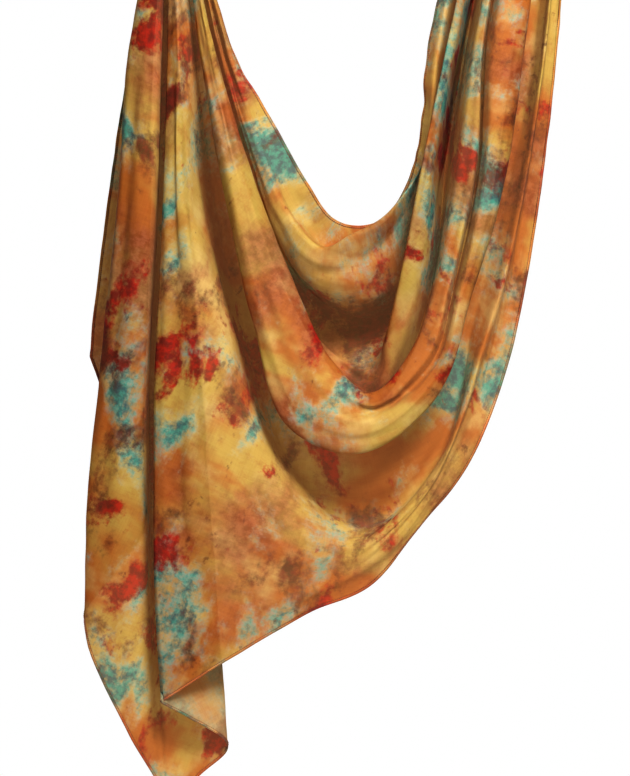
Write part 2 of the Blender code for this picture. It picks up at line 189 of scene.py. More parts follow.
TAIL_CORNER_FOLD = 4
TAIL_HIDDEN_TURN_FOLD = 9

# The hem: a narrow roll along every edge, with a row of stitches near each of its sides.
HEM_WIDTH = 4.2 * MM
HEM_THICKNESS = 1.1 * MM
HEM_OVERHANG = 0.4 * MM
HEM_SIDES = 8
HEM_FULLNESS = 0.6
STITCH_INSETS = (0.8 * MM, 3.4 * MM)
STITCH_LENGTH = 2.2 * MM
STITCH_PITCH = 3.1 * MM
STITCH_WIDTH = 0.8 * MM
STITCH_PROUD = 0.65 * MM

# Linear colours of the dyed print.
GOLD = (0.405, 0.305, 0.086)
PALE_GOLD = (0.51, 0.43, 0.19)
ORANGE = (0.36, 0.136, 0.028)
RUST = (0.27, 0.068, 0.013)
MAUVE = (0.29, 0.108, 0.062)
GREY_BLUE = (0.35, 0.48, 0.43)
TEAL = (0.045, 0.27, 0.21)
DEEP_TEAL = (0.010, 0.105, 0.14)
RED = (0.36, 0.017, 0.009)
DEEP_RED = (0.17, 0.013, 0.010)
MAROON = (0.165, 0.032, 0.018)
DARK_BROWN = (0.080, 0.030, 0.014)
THREAD_BROWN = (0.20, 0.045, 0.018)

# The voile's threads: their spacing, and how much the thicker ones darken it.
THREAD_PITCH = 0.5 * MM
SLUB_SHADE = 0.07
BUMP_DEPTH = 0.2 * MM
CLOTH_BUMP = 0.35
HEM_BUMP = 0.5

# How much of the voile is open between its threads, what colour comes through there, and how
# much of its own light is scattered to its other side.
SHEER = 0.135
SHEER_TINT = (0.88, 0.48, 0.22)
GLOW_TINT = (1.0, 0.68, 0.36)
GLOW = 0.25

# The dye is paler on the reverse.
REVERSE_COLOUR = (0.50, 0.36, 0.19)
REVERSE_FADE = 0.5

# The hem's layers make it darker. Cloth and thread are matt.
HEM_SHADE = (0.95, 0.68, 0.50)
HEM_ROUGHNESS = 0.75
CLOTH_ROUGHNESS = 0.70
CLOTH_SPECULAR = 0.16
CLOTH_SHEEN = 0.02
CLOTH_SHEEN_ROUGHNESS = 0.5
THREAD_ROUGHNESS = 0.6


def smooth_line(points, steps):
    """A line through points with rounded bends, with steps[i] stretches in interval i.

    It is a centripetal Catmull-Rom line, as in the part's source. points may hold many lines
    side by side: the first axis is the one that is followed.
    """
    ends = [2 * points[0] - points[1]], [2 * points[-1] - points[-2]]
    padded = np.concatenate([ends[0], points, ends[1]])
    spans = np.sqrt(np.linalg.norm(np.diff(padded, axis=0), axis=-1, keepdims=True)) + 1e-9
    line = []
    for i, count in enumerate(steps):
        before, start, end, after = padded[i:i + 4]
        span_in, span, span_out = spans[i:i + 3]
        leave = (start - before) / span_in - (end - before) / (span_in + span) + (end - start) / span
        arrive = (end - start) / span - (after - start) / (span + span_out) + (after - end) / span_out
        for step in range(count):
            f = step / count
            line.append((2 * f**3 - 3 * f**2 + 1) * start + (f**3 - 2 * f**2 + f) * span * leave
                        + (3 * f**2 - 2 * f**3) * end + (f**3 - f**2) * span * arrive)
    line.append(points[-1])
    return np.array(line)


def bent_line(points, steps, bend):
    """A smooth line with a sharp corner at the point numbered bend."""
    until = smooth_line(points[:bend + 1], steps[:bend])
    after = smooth_line(points[bend:], steps[bend:])
    return np.concatenate([until, after[1:]])


def left_hold(below):
    """Where a fold starts in the left hold, from its first point below it."""
    x, _, depth = below
    return x * LEFT_GATHER_WIDTH, 0, depth * LEFT_GATHER_DEPTH


def right_hold(below):
    """Where a fold ends in the right hold, from its last point below it."""
    x, _, depth = below
    return RIGHT_HOLD_X + (x - RIGHT_PLEATS_X) * RIGHT_GATHER_WIDTH, 0, depth * RIGHT_GATHER_DEPTH


def rows_between(stations):
    """How many rows each interval of stations is cut into."""
    return [int(rows) for rows in np.diff(stations) * ROWS]


def front_edge_line():
    """The swag's last fold, with its sharp corner."""
    points = [tuple(bend)[1:] for bend in FRONT_EDGE]
    points = np.array([left_hold(points[0]), *points, right_hold(points[-1])], dtype=float)
    stations = [0, *(bend.station for bend in FRONT_EDGE), LAST_STATION]
    return bent_line(points, rows_between(stations), stations.index(FRONT_CORNER))


def across_folds(lines, bend=None):
    """The surface through the folds' lines, with a sharp corner at the line numbered bend."""
    steps = [COLUMNS] * (len(lines) - 1)
    if bend is None:
        return smooth_line(lines, steps)
    return bent_line(lines, steps, bend)


def to_metres(points):
    """(x, drop, depth) in centimetres to (x, y, z) in metres."""
    x, drop, depth = np.moveaxis(points, -1, 0)
    return np.stack([x, depth, -drop], axis=-1) * CM


def swag_surface():
    """The swag's points, as [column across the folds][row along them]."""
    folds = [(left_hold(fold.left_high), *fold[1:], right_hold(fold.right_high))
             for fold in SWAG_FOLDS]
    folds = np.array(folds, dtype=float).swapaxes(0, 1)
    lines = smooth_line(folds, rows_between(range(LAST_STATION + 1))).swapaxes(0, 1)
    return to_metres(across_folds(np.concatenate([lines, [front_edge_line()]])))


def tail_surface():
    """The tail's points, from the front panel's left edge to the edge that ends the tail."""
    folds = [(left_hold(fold.high), *fold[1:]) for fold in TAIL_FOLDS]
    folds = np.array(folds, dtype=float).swapaxes(0, 1)
    lines = smooth_line(folds, rows_between([0, *TAIL_STATIONS])).swapaxes(0, 1)
    shared_edge = front_edge_line()[:FRONT_CORNER * ROWS + 1]
    return to_metres(across_folds(np.concatenate([[shared_edge], lines]), TAIL_CORNER_FOLD))


class Cloth:
    """The swag and the tail as one welded sheet of points, with each grid's point numbers."""

    def __init__(self, swag, tail):
        columns, rows, _ = swag.shape
        tail_columns, tail_rows, _ = tail.shape
        self.swag = np.arange(columns * rows).reshape(columns, rows)
        own = np.arange((tail_columns - 1) * tail_rows).reshape(tail_columns - 1, tail_rows)
        self.tail = np.concatenate([self.swag[-1:, :tail_rows], own + columns * rows])
        self.points = np.concatenate([swag.reshape(-1, 3), tail[1:].reshape(-1, 3)])
        self.quads = np.concatenate([quads_of(self.swag), quads_of(self.tail)])

    def normals(self):
        """Each point's normal, out of the cloth's face."""
        corners = self.points[self.quads]
        facing = np.cross(corners[:, 2] - corners[:, 0], corners[:, 3] - corners[:, 1])
        total = np.zeros_like(self.points)
        for i in range(4):
            np.add.at(total, self.quads[:, i], facing)
        return total / (np.linalg.norm(total, axis=1, keepdims=True) + 1e-12)


def quads_of(numbers):
    """The faces between neighbouring points of a grid."""
    sides = numbers[:-1, :-1], numbers[1:, :-1], numbers[1:, 1:], numbers[:-1, 1:]
    return np.stack(sides, axis=-1).reshape(-1, 4)


def new_mesh(name, points, faces, smooth=True):
    mesh = bpy.data.meshes.new(name)
    mesh.from_pydata(points.reshape(-1, 3).tolist(), [], faces)
    if smooth:
        mesh.shade_smooth()
    return mesh


def new_piece(name, mesh):
    piece = bpy.data.objects.new(name, mesh)
    bpy.context.scene.collection.objects.link(piece)
    return piece


def flattened(cloth, swag_skip, tail_skip):
    """The cloth laid flat, in metres: each point's place on the cut, with the least stretch.

    It is worked out on some of the lines, swag_skip and tail_skip steps apart, and filled in
    between them.
    """
    coarse = Cloth(cloth.points[cloth.swag][::swag_skip[0], ::swag_skip[1]],
                   cloth.points[cloth.tail][::tail_skip[0], ::tail_skip[1]])
    mesh = new_mesh("unwrap", coarse.points, coarse.quads.tolist())
    helper = new_piece("unwrap", mesh)
    mesh.uv_layers.new(name="flat")
    bpy.ops.object.select_all(action="DESELECT")
    helper.select_set(True)
    bpy.context.view_layer.objects.active = helper
    bpy.ops.object.mode_set(mode="EDIT")
    bpy.ops.mesh.select_all(action="SELECT")
    bpy.ops.uv.unwrap(method="MINIMUM_STRETCH", margin=0.0)
    bpy.ops.object.mode_set(mode="OBJECT")
    places = np.empty(len(mesh.loops) * 2)
    mesh.uv_layers["flat"].data.foreach_get("uv", places)
    numbers = np.empty(len(mesh.loops), dtype=int)
    mesh.loops.foreach_get("vertex_index", numbers)
    flat = np.empty((len(coarse.points), 2))
    flat[numbers] = places.reshape(-1, 2)
    bpy.data.objects.remove(helper)
    bpy.data.meshes.remove(mesh)

    in_space = quad_area(coarse.points[coarse.quads])
    in_plane = quad_area(np.pad(flat, ((0, 0), (0, 1)))[coarse.quads])
    flat *= math.sqrt(in_space / in_plane)
    flat = squared_up(flat, coarse.swag)
    swag = filled_in(flat[coarse.swag], swag_skip)
    tail = filled_in(flat[coarse.tail], tail_skip)
    return np.concatenate([swag.reshape(-1, 2), tail[1:].reshape(-1, 2)])


def squared_up(flat, swag):
    """The flat cloth turned so that its top edge runs along x and its lower hem is below."""
    start = flat[swag[0, 0]]
    along = unit(flat[swag[0, -1]] - start)
    up = np.array([-along[1], along[0]])
    if (flat[swag[-1, swag.shape[1] // 2]] - start) @ up > 0:
        up = -up
    return np.stack([(flat - start) @ along, (flat - start) @ up], axis=-1)


def quad_area(corners):
    """The area of some faces together, from their diagonals."""
    crossed = np.cross(corners[:, 2] - corners[:, 0], corners[:, 3] - corners[:, 1])
    return np.linalg.norm(crossed, axis=1).sum() / 2


def filled_in(grid, skip):
    """A coarse grid's values, with skip steps to each of its own along each axis."""
    for axis, steps in enumerate(skip):
        count = grid.shape[axis]
        fine = np.arange((count - 1) * steps + 1) / steps
        low = np.minimum(fine.astype(int), count - 2)
        share = (fine - low).reshape([-1 if i == axis else 1 for i in range(3)])
        grid = np.take(grid, low, axis) * (1 - share) + np.take(grid, low + 1, axis) * share
    return grid


# Creases too small for the solid, as (fold, station) paths along the swag or the tail. A ridge
# has a positive height, a trough a negative one; width is half of its breadth, in millimetres.
Crease = namedtuple("Crease", "sheet width height path")
CREASES = (
    # the front panel, from the left hold down to its lower hem
    Crease("swag", 13, -6.4, ((16.35, 0.9), (16.38, 2.0), (16.42, 3.0), (16.50, 3.7))),
    Crease("swag", 9, 4.2, ((16.66, 0.8), (16.68, 2.0), (16.72, 3.1), (16.80, 3.9))),
    Crease("swag", 7, -3.5, ((16.10, 2.0), (16.12, 3.0), (16.25, 3.9), (16.40, 4.5))),
    Crease("swag", 5, 4.2, ((15.70, 1.6), (15.66, 2.9), (15.60, 4.0), (15.72, 4.9))),
    Crease("swag", 5, -3.8, ((15.42, 2.2), (15.40, 3.4), (15.42, 4.4), (15.55, 5.3))),
    Crease("swag", 4, 3.5, ((15.20, 2.9), (15.16, 3.8), (15.18, 4.7), (15.24, 5.7))),
    Crease("swag", 8, 3.8, ((16.30, 4.5), (16.25, 5.0), (16.30, 5.6), (16.45, 6.3))),
    # the shade between the front panel and the main fold
    Crease("swag", 9, -3.4, ((14.55, 0.9), (14.50, 2.1), (14.52, 3.2), (14.60, 4.1))),
    Crease("swag", 6, 2.2, ((14.20, 1.3), (14.22, 2.3), (14.18, 3.4), (14.28, 4.2))),
    Crease("swag", 7, -2.6, ((13.50, 0.8), (13.42, 1.9), (13.55, 3.2))),
    # the main fold
    Crease("swag", 6, 2.0, ((11.45, 0.9), (11.40, 2.0), (11.48, 3.1), (11.44, 3.9))),
    Crease("swag", 8, -2.8, ((11.62, 2.6), (11.50, 3.8), (11.46, 4.9), (11.55, 6.2))),
    Crease("swag", 5, -1.9, ((8.70, 4.4), (9.50, 4.7), (10.60, 5.0))),
    Crease("swag", 4, 1.6, ((9.10, 5.2), (10.00, 5.5), (11.20, 5.7))),
    Crease("swag", 6, -1.8, ((10.40, 3.4), (10.55, 4.3), (10.90, 4.9))),
    Crease("swag", 5, 1.8, ((10.70, 5.5), (10.60, 6.3), (10.70, 7.1))),
    Crease("swag", 4, 2.2, ((8.90, 3.6), (9.30, 4.4), (9.50, 5.0), (9.20, 5.7))),
    Crease("swag", 3, -2.0, ((9.40, 4.6), (9.95, 5.1), (10.10, 5.8))),
    Crease("swag", 5, 2.0, ((11.20, 3.9), (10.90, 4.5), (11.10, 5.2))),
    Crease("swag", 4, -1.7, ((11.80, 4.2), (11.50, 4.8), (11.70, 5.5), (11.60, 6.2))),
    # the layers under the main fold
    Crease("swag", 13, 8.5, ((13.56, 3.8), (13.64, 4.6), (13.66, 5.2), (13.56, 6.4))),
    Crease("swag", 12, -7.0, ((14.04, 3.9), (14.10, 4.7), (14.08, 5.4), (14.02, 6.4))),
    Crease("swag", 3, -4.4, ((13.42, 6.0), (13.62, 5.7), (13.82, 5.2), (13.86, 4.6))),
    Crease("swag", 5, 4.2, ((13.34, 5.7), (13.50, 5.4), (13.66, 4.9), (13.68, 4.4))),
    Crease("swag", 7, 3.4, ((14.62, 4.4), (14.70, 5.1), (14.62, 5.8), (14.50, 6.7))),
    Crease("swag", 6, -2.2, ((15.30, 5.0), (15.45, 5.6), (15.42, 6.2), (15.30, 7.0))),
    # the cowl and the roll above it
    Crease("swag", 9, 4.4, ((4.24, 3.2), (4.30, 4.0), (4.36, 4.9), (4.26, 6.1))),
    Crease("swag", 7, -4.6, ((3.66, 2.9), (3.62, 3.9), (3.66, 4.9), (3.84, 6.2))),
    Crease("swag", 8, -4.0, ((4.62, 3.5), (4.66, 4.4), (4.70, 5.1), (4.58, 5.9))),
    Crease("swag", 7, 5.0, ((4.92, 3.5), (4.98, 4.4), (5.06, 5.4))),
    Crease("swag", 6, -3.2, ((5.18, 3.9), (5.26, 4.7), (5.28, 5.6))),
    Crease("swag", 6, 4.6, ((3.14, 3.4), (3.10, 4.3), (3.12, 5.2), (3.20, 6.3))),
    Crease("swag", 4, -2.4, ((2.34, 4.3), (2.44, 5.0), (2.30, 5.7))),
    Crease("swag", 6, -2.2, ((3.40, 1.0), (3.42, 2.3), (3.50, 3.4), (3.36, 4.4))),
    Crease("swag", 5, 2.0, ((2.60, 3.2), (2.52, 4.3), (2.60, 5.4))),
    Crease("swag", 5, -2.2, ((1.42, 2.7), (1.50, 3.9), (1.42, 5.0))),
    Crease("swag", 9, -7.5, ((2.74, 4.0), (2.62, 4.8), (2.50, 5.6), (2.44, 6.8))),
    Crease("swag", 5, 4.4, ((2.14, 4.0), (2.12, 4.8), (2.12, 5.6), (2.14, 6.5))),
    Crease("swag", 6, 3.4, ((5.40, 2.8), (5.50, 3.9), (5.60, 4.6))),
    # the right group
    Crease("swag", 6, -2.6, ((2.45, 6.3), (2.52, 7.6), (2.46, 9.4))),
    Crease("swag", 6, 2.4, ((4.52, 6.4), (4.48, 7.7), (4.54, 9.3))),
    Crease("swag", 5, -2.0, ((5.40, 6.3), (5.48, 7.5), (5.42, 8.8))),
    Crease("swag", 6, -2.4, ((8.45, 6.2), (8.50, 7.4), (8.46, 9.2))),
    Crease("swag", 7, -3.0, ((11.42, 6.4), (11.38, 7.7), (11.44, 9.5))),
    Crease("swag", 5, 2.2, ((11.72, 6.6), (11.70, 8.0), (11.74, 9.3))),
    Crease("swag", 6, 2.2, ((10.48, 6.9), (10.52, 8.1), (10.46, 9.4))),
    Crease("swag", 8, -1.8, ((14.42, 6.5), (14.50, 7.7), (14.44, 9.4))),
    Crease("swag", 7, 1.4, ((16.40, 6.1), (16.44, 6.9), (16.42, 7.7))),
    Crease("swag", 6, -1.4, ((14.98, 6.6), (14.94, 7.4), (14.98, 8.4))),
    # the left group above the bowl
    Crease("swag", 6, 2.4, ((9.50, 0.7), (9.58, 1.9), (9.48, 3.0))),
    Crease("swag", 6, -2.2, ((7.50, 0.9), (7.44, 2.1), (7.52, 3.3))),
    Crease("swag", 7, 2.6, ((1.50, 0.8), (1.46, 1.8), (1.54, 2.6))),
    # the tail
    Crease("tail", 9, -3.0, ((6.34, 0.7), (6.40, 2.0), (6.46, 3.1), (6.36, 3.9))),
    Crease("tail", 6, 2.2, ((6.66, 0.9), (6.70, 2.2), (6.62, 3.3))),
    Crease("tail", 7, 2.4, ((5.32, 1.0), (5.28, 2.3), (5.36, 3.5))),
    Crease("tail", 6, -2.0, ((2.50, 1.2), (2.46, 2.6), (2.54, 3.8))),
    Crease("tail", 8, 2.6, ((1.50, 1.4), (1.54, 2.7), (1.46, 3.7))),
    Crease("tail", 7, -2.4, ((7.52, 0.8), (7.46, 2.1), (7.54, 3.5))),
    Crease("tail", 8, 2.4, ((9.50, 1.0), (9.46, 2.3), (9.54, 3.6))),
    Crease("tail", 7, -2.0, ((10.48, 0.9), (10.54, 2.2), (10.46, 3.4))),
)

# A crease's path has this many steps between its places. It rises and falls softly at its ends.
CREASE_STEPS = 6
CREASE_FADE = 0.7

# Soft ripples along the folds, finer crinkles over them, and the slight wave of the hems.
RIPPLE_HEIGHT = 1.8 * MM
RIPPLE_SPACING = 0.022
RIPPLE_LENGTH = 0.16
CRINKLE_HEIGHT = 1.1 * MM
CRINKLE_SPACING = 0.015
CRINKLE_LENGTH = 0.042
HEM_WAVE_HEIGHT = 1.4 * MM
HEM_WAVE_LENGTH = 0.034
HEM_WAVE_REACH = 0.02
HEM_WAVE_STRETCH = 6


def on_grid(numbers, values, fold, station, stations):
    """A value at a place among the folds, between the grid's points."""
    column = fold * COLUMNS
    row = np.interp(station, stations, np.cumsum([0, *rows_between(stations)]))
    low_column = min(int(column), numbers.shape[0] - 2)
    low_row = min(int(row), numbers.shape[1] - 2)
    across, along = column - low_column, row - low_row
    corners = values[numbers[low_column:low_column + 2, low_row:low_row + 2]]
    near = corners[0, 0] * (1 - along) + corners[0, 1] * along
    far = corners[1, 0] * (1 - along) + corners[1, 1] * along
    return near * (1 - across) + far * across


def crease_heights(cloth, flat):
    """How far each point is moved out of the cloth's face by the creases."""
    stations = {"swag": range(LAST_STATION + 1), "tail": (0, *TAIL_STATIONS)}
    heights = np.zeros(len(flat))
    for crease in CREASES:
        numbers = getattr(cloth, crease.sheet)
        path = [on_grid(numbers, flat, *place, stations[crease.sheet]) for place in crease.path]
        path = smooth_line(np.array(path), [CREASE_STEPS] * (len(path) - 1))
        width = crease.width * MM
        reach = path.min(axis=0) - 3 * width, path.max(axis=0) + 3 * width
        near = np.flatnonzero(((flat > reach[0]) & (flat < reach[1])).all(axis=1))
        best = np.full(len(near), np.inf)
        share = np.zeros(len(near))
        for i, (start, end) in enumerate(zip(path[:-1], path[1:])):
            way = end - start
            along = np.clip((flat[near] - start) @ way / (way @ way), 0, 1)
            distance = np.linalg.norm(flat[near] - start - along[:, None] * way, axis=1)
            closer = distance < best
            best[closer] = distance[closer]
            share[closer] = (i + along[closer]) / (len(path) - 1)
        fade = np.sin(share * math.pi)**CREASE_FADE
        heights[near] += crease.height * MM * np.exp(-(best / width)**2) * fade
    return heights


def ripple_heights(cloth, flat):
    """Soft uneven ripples that follow the folds, and the finer crinkles over them."""
    heights = np.zeros(len(flat))
    for numbers, seed in ((cloth.swag, 3.7), (cloth.tail, 8.2)):
        grid = flat[numbers]
        across = np.linalg.norm(np.diff(grid, axis=0, prepend=grid[:1]), axis=2).cumsum(axis=0)
        along = np.linalg.norm(np.diff(grid, axis=1, prepend=grid[:, :1]), axis=2).cumsum(axis=1)
        across = np.broadcast_to(across.mean(axis=1, keepdims=True), along.shape)
        for number, u, v in zip(numbers.ravel(), across.ravel(), along.ravel()):
            place = u / RIPPLE_SPACING, v / RIPPLE_LENGTH, seed
            finer = u / CRINKLE_SPACING, v / CRINKLE_LENGTH, seed + 5
            heights[number] = mathutils.noise.noise(place) * RIPPLE_HEIGHT
            heights[number] += mathutils.noise.noise(finer) * CRINKLE_HEIGHT
    return heights


def hem_wave_heights(cloth, flat, edges):
    """A short wave along each hem, which dies out within the cloth."""
    heights = np.zeros(len(flat))
    for i, line in enumerate(edges):
        for start in range(0, len(line) - 1, HEM_WAVE_STRETCH):
            stretch = flat[line[start:start + HEM_WAVE_STRETCH + 1]]
            middle = stretch.mean(axis=0)
            near = np.flatnonzero(np.linalg.norm(flat - middle, axis=1) < HEM_WAVE_REACH * 2.5)
            distance = np.linalg.norm(flat[near][:, None] - stretch[None], axis=2).min(axis=1)
            for number, away in zip(near, distance):
                x, y = flat[number]
                wave = mathutils.noise.noise((x / HEM_WAVE_LENGTH, y / HEM_WAVE_LENGTH, i + 0.5))
                height = wave * HEM_WAVE_HEIGHT * 2 * math.exp(-(away / HEM_WAVE_REACH)**2)
                if abs(height) > abs(heights[number]):
                    heights[number] = height
    return heights


def crease(cloth, flat, edges):
    """Give the cloth its smaller creases."""
    heights = crease_heights(cloth, flat) + ripple_heights(cloth, flat)
    heights += hem_wave_heights(cloth, flat, edges)
    cloth.points += cloth.normals() * heights[:, None]


# ---------------------------------------------------------------- materials


def new_node(tree, kind, inputs=(), **settings):
    """A node with its settings, and inputs as (name or number, value or socket) pairs."""
    node = tree.nodes.new(kind)
    for name, value in settings.items():
        setattr(node, name, value)
    for name, value in inputs:
        if isinstance(value, bpy.types.NodeSocket):
            tree.links.new(value, node.inputs[name])
        else:
            node.inputs[name].default_value = value
    return node


def cloth_place(tree, seed=0.0, tall=1.0):
    """Where a point is on the flat cloth, in metres, moved by a seed to vary a texture."""
    place = new_node(tree, "ShaderNodeAttribute", attribute_name="flat").outputs["Vector"]
    shift = (seed * 7.3, seed * 3.1, seed * 1.7 + PRINT_SEED)
    moved = [("Vector", place), ("Location", shift), ("Scale", (1, 1 / tall, 1))]
    return new_node(tree, "ShaderNodeMapping", moved).outputs["Vector"]


def noise(tree, seed, scale, detail=2.0, roughness=0.5, distortion=0.0, tall=1.0):
    """Noise on the flat cloth, from 0 to 1: scale is to the metre, tall stretches it down."""
    inputs = [("Vector", cloth_place(tree, seed, tall)), ("Scale", scale), ("Detail", detail),
              ("Roughness", roughness), ("Distortion", distortion)]
    return new_node(tree, "ShaderNodeTexNoise", inputs).outputs["Fac"]


def arithmetic(tree, operation, first, second=0.0, third=0.0):
    """A sum or product of up to three values, each a socket or a number."""
    inputs = [(0, first), (1, second), (2, third)]
    return new_node(tree, "ShaderNodeMath", inputs, operation=operation).outputs["Value"]


def soft_step(tree, value, low, high, most=1.0):
    """A value's smooth rise from 0 at low to most at high."""
    inputs = [("Value", value), ("From Min", low), ("From Max", high), ("To Max", most)]
    step = new_node(tree, "ShaderNodeMapRange", inputs, interpolation_type="SMOOTHSTEP")
    return step.outputs["Result"]


def colour_mix(tree, share, under, over, blend="MIX"):
    """A colour laid over another, each a socket or three numbers."""
    node = new_node(tree, "ShaderNodeMix", data_type="RGBA", blend_type=blend)
    for number, value in ((0, share), (6, under), (7, over)):
        if isinstance(value, bpy.types.NodeSocket):
            tree.links.new(value, node.inputs[number])
        elif number == 0:
            node.inputs[number].default_value = value
        else:
            node.inputs[number].default_value = (*value, 1.0)
    return node.outputs[2]


# A layer of the print: splashes of one dye, whose edges break up into speckles. scale is in
# splashes to the metre, and gather says how strongly they crowd into the group's own regions. A
# splash begins where the noise passes level, over a range of softness; grain breaks up its edge,
# deep is the dye where it is strongest, and most says how much it hides of what is below it.
Splash = namedtuple("Splash", "seed colour deep scale group gather level softness grain most")
SPLASHES = (
    Splash(6.0, MAUVE, MAROON, 7.5, 2.2, 0.40, 0.530, 0.15, 0.12, 0.66),
    Splash(3.0, GREY_BLUE, PALE_GOLD, 10.0, 1.0, 0.45, 0.529, 0.11, 0.16, 0.78),
    Splash(3.0, TEAL, DEEP_TEAL, 10.0, 1.0, 0.45, 0.574, 0.085, 0.20, 0.88),
    Splash(4.0, RED, DEEP_RED, 12.0, 1.4, 0.45, 0.596, 0.055, 0.12, 0.94),
    Splash(5.0, MAROON, DARK_BROWN, 13.0, 1.4, 0.45, 0.606, 0.10, 0.18, 0.85),
    Splash(9.0, MAROON, DARK_BROWN, 55.0, 2.6, 0.35, 0.705, 0.09, 0.16, 0.70),
)
SPLASH_TALL = 1.5
PRINT_SEED = 21.2


def print_colour(tree):
    """The dyed print, from the ground's clouds up to the small specks."""
    clouds = noise(tree, seed=0.0, scale=5.5, detail=4.0, distortion=0.3, tall=0.75)
    ground = colour_mix(tree, soft_step(tree, clouds, 0.425, 0.565), GOLD, ORANGE)
    pale = noise(tree, seed=0.6, scale=9.0, detail=4.0, roughness=0.6)
    ground = colour_mix(tree, soft_step(tree, pale, 0.50, 0.68, 0.6), ground, PALE_GOLD)
    mottle = noise(tree, seed=1.1, scale=34.0, detail=6.0, roughness=0.7)
    ground = colour_mix(tree, soft_step(tree, mottle, 0.46, 0.72, 0.35), ground, RUST)

    grain = noise(tree, seed=1.7, scale=130.0, detail=5.0, roughness=0.7)
    for splash in SPLASHES:
        body = noise(tree, splash.seed, splash.scale, detail=5.0, roughness=0.58, distortion=0.25,
                     tall=SPLASH_TALL)
        group = noise(tree, splash.group, scale=3.6, detail=1.0)
        level = arithmetic(tree, "MULTIPLY_ADD", group, splash.gather, splash.gather * -0.5)
        level = arithmetic(tree, "ADD", level, body)
        level = arithmetic(tree, "ADD", level, splash.grain / -2)
        level = arithmetic(tree, "MULTIPLY_ADD", grain, splash.grain, level)
        low = splash.level - splash.softness / 2
        mask = soft_step(tree, level, low, splash.level + splash.softness, splash.most)
        tone = noise(tree, splash.seed + 0.5, scale=60.0, detail=5.0, roughness=0.7)
        dye = colour_mix(tree, soft_step(tree, tone, 0.38, 0.60), splash.colour, splash.deep)
        ground = colour_mix(tree, mask, ground, dye)

    return ground


def thread_lines(tree, direction):
    """Evenly spaced threads across a direction of the flat cloth.

    A wave texture of scale 1 repeats after a tenth of pi.
    """
    scale = math.pi / (10 * THREAD_PITCH)
    lines = [("Vector", cloth_place(tree)), ("Scale", scale), ("Distortion", 0.6), ("Detail", 1.0)]
    return new_node(tree, "ShaderNodeTexWave", lines, bands_direction=direction).outputs["Fac"]


def slub_shade(tree):
    """Threads that are a little thicker or thinner for part of their way, along both directions."""
    warp = noise(tree, seed=20.0, scale=420.0, tall=30.0)
    weft = noise(tree, seed=21.0, scale=14.0, tall=1 / 30)
    return arithmetic(tree, "MULTIPLY_ADD", warp, 0.5, arithmetic(tree, "MULTIPLY", weft, 0.5))


def crepe_bump(tree, strength):
    """The plain weave of the voile, and the pebbled look of its twisted crepe threads."""
    weave = arithmetic(tree, "MAXIMUM", thread_lines(tree, "X"), thread_lines(tree, "Y"))
    pebbles = noise(tree, seed=13.0, scale=900.0, detail=3.0, roughness=0.6)
    height = arithmetic(tree, "MULTIPLY_ADD", pebbles, 0.8, weave)
    bump = [("Height", height), ("Strength", strength), ("Distance", BUMP_DEPTH)]
    return new_node(tree, "ShaderNodeBump", bump).outputs["Normal"]


def start_material(name):
    """A new material, with its nodes and its main shader."""
    material = bpy.data.materials.new(name)
    material.use_nodes = True
    tree = material.node_tree
    shader = tree.nodes["Principled BSDF"]
    return material, tree, shader


def cloth_material():
    """Semi-sheer printed voile: it glows with the light behind it, and lets a little through."""
    material, tree, shader = start_material("hijab_cloth")
    behind = new_node(tree, "ShaderNodeNewGeometry").outputs["Backfacing"]
    reverse = arithmetic(tree, "MULTIPLY", behind, REVERSE_FADE)
    colour = colour_mix(tree, reverse, print_colour(tree), REVERSE_COLOUR)
    slubs = soft_step(tree, slub_shade(tree), 0.42, 0.58, SLUB_SHADE)
    colour = colour_mix(tree, slubs, colour, RUST, "MULTIPLY")
    normal = crepe_bump(tree, CLOTH_BUMP)
    tree.links.new(colour, shader.inputs["Base Color"])
    tree.links.new(normal, shader.inputs["Normal"])
    shader.inputs["Roughness"].default_value = CLOTH_ROUGHNESS
    shader.inputs["Specular IOR Level"].default_value = CLOTH_SPECULAR
    shader.inputs["Sheen Weight"].default_value = CLOTH_SHEEN
    shader.inputs["Sheen Roughness"].default_value = CLOTH_SHEEN_ROUGHNESS
    through = colour_mix(tree, 1.0, colour, GLOW_TINT, "MULTIPLY")
    glow = new_node(tree, "ShaderNodeBsdfTranslucent", [("Color", through), ("Normal", normal)])
    parts = [(0, GLOW), (1, shader.outputs[0]), (2, glow.outputs[0])]
    body = new_node(tree, "ShaderNodeMixShader", parts)
    gaps = new_node(tree, "ShaderNodeBsdfTransparent", [("Color", (*SHEER_TINT, 1.0))])
    parts = [(0, SHEER), (1, body.outputs[0]), (2, gaps.outputs[0])]
    cloth = new_node(tree, "ShaderNodeMixShader", parts)
    tree.links.new(cloth.outputs[0], tree.nodes["Material Output"].inputs["Surface"])
    return material


def hem_material():
    """The same print on the turned hem, where three layers lie on each other."""
    material, tree, shader = start_material("hijab_hem")
    darker = colour_mix(tree, 1.0, print_colour(tree), HEM_SHADE, "MULTIPLY")
    tree.links.new(darker, shader.inputs["Base Color"])
    tree.links.new(crepe_bump(tree, HEM_BUMP), shader.inputs["Normal"])
    shader.inputs["Roughness"].default_value = HEM_ROUGHNESS
    return material


def thread_material():
    """Matt brown sewing thread, darker where it is worn."""
    material, tree, shader = start_material("hijab_thread")
    worn = noise(tree, seed=15.0, scale=400.0)
    colour = colour_mix(tree, soft_step(tree, worn, 0.35, 0.65), THREAD_BROWN, DARK_BROWN)
    tree.links.new(colour, shader.inputs["Base Color"])
    shader.inputs["Roughness"].default_value = THREAD_ROUGHNESS
    return material


# ---------------------------------------------------------------- pieces


def keep_flat(mesh, flat):
    """Store each point's place on the flat cloth, for the materials."""
    attribute = mesh.attributes.new("flat", "FLOAT_VECTOR", "POINT")
    attribute.data.foreach_set("vector", np.pad(flat, ((0, 0), (0, 1))).ravel())


def unit(vectors):
    return vectors / (np.linalg.norm(vectors, axis=-1, keepdims=True) + 1e-12)


